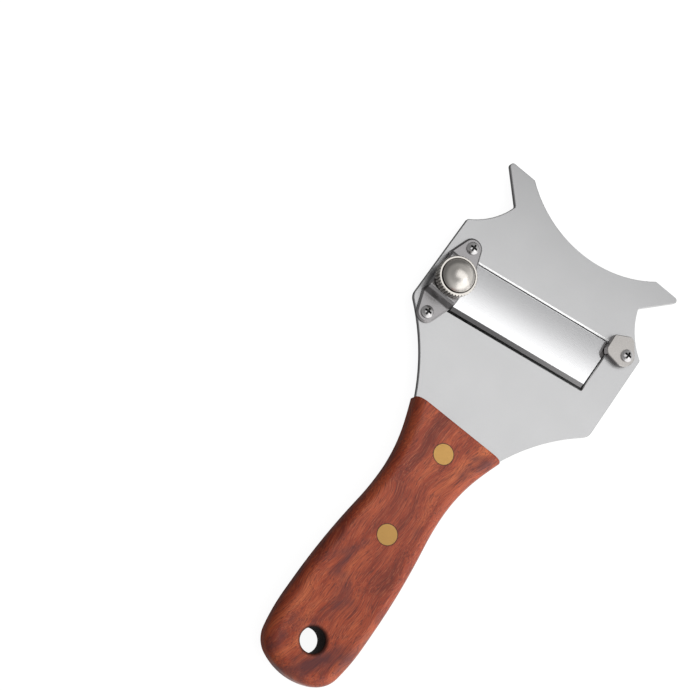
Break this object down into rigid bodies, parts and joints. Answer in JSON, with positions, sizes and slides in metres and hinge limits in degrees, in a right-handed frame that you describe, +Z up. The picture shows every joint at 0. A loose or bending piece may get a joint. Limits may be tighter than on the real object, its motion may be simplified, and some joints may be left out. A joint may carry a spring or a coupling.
{
  "type": "truffle slicer",
  "caption": "Hand-held truffle slicer: horned steel plate with a slanted window, a tilting blade set by a domed knob, and a riveted hardwood handle with a hanging hole.",
  "frame": {"origin": "centre of the bounding box in x and y, at the level of the handle's underside", "axes": "+Y along the slicer from the handle to the horns, +Z up out of the face that carries the knob, +X to the keeper's side"},
  "size_m": [0.0968, 0.233, 0.025],
  "materials": {
    "satin_steel": "satin",
    "polished_steel": "polished",
    "bracket_steel": "satin",
    "screw_steel": "polished",
    "nickel": "satin",
    "brass": "satin",
    "hardwood": "satin varnish"
  },
  "bodies": {
    "frame": {"body_plate": "satin_steel", "handle": "hardwood", "front_rivet_barrel": "brass", "front_rivet_screw": "brass", "rear_rivet_barrel": "brass", "rear_rivet_screw": "brass", "bridge": "bracket_steel", "bridge_screws": "screw_steel", "keeper": "bracket_steel", "keeper_screw": "screw_steel", "knob_washer": "screw_steel", "adjuster_spring": "screw_steel"},
    "blade": {"blade": "polished_steel"},
    "bolt": {"adjuster_bolt": "screw_steel"},
    "knob": {"knob": "nickel"}
  },
  "joints": [
    {"name": "knob_turn", "type": "hinge", "parent": "frame", "child": "knob", "pos_m": [-0.0395, 0.05635, 0.01395], "axis": [0, 0, -1], "range_deg": [-101.05, 661.33]},
    {"name": "bolt_lift", "type": "slide", "parent": "frame", "child": "bolt", "axis": [0, 0, 1], "range_m": [-0.0002, 0.00129], "deforming": ["adjuster_spring"]},
    {"name": "blade_tilt", "type": "hinge", "parent": "frame", "child": "blade", "pos_m": [0, 0.07479, 0.00725], "axis": [-0.9881, -0.1538, 0], "range_deg": [-0.98, 6.44]}
  ],
  "couplings": [
    {"joint": "knob_turn", "follows": "bolt_lift", "rad_per_m": 8976},
    {"joint": "blade_tilt", "follows": "bolt_lift", "rad_per_m": 87.462}
  ]
}
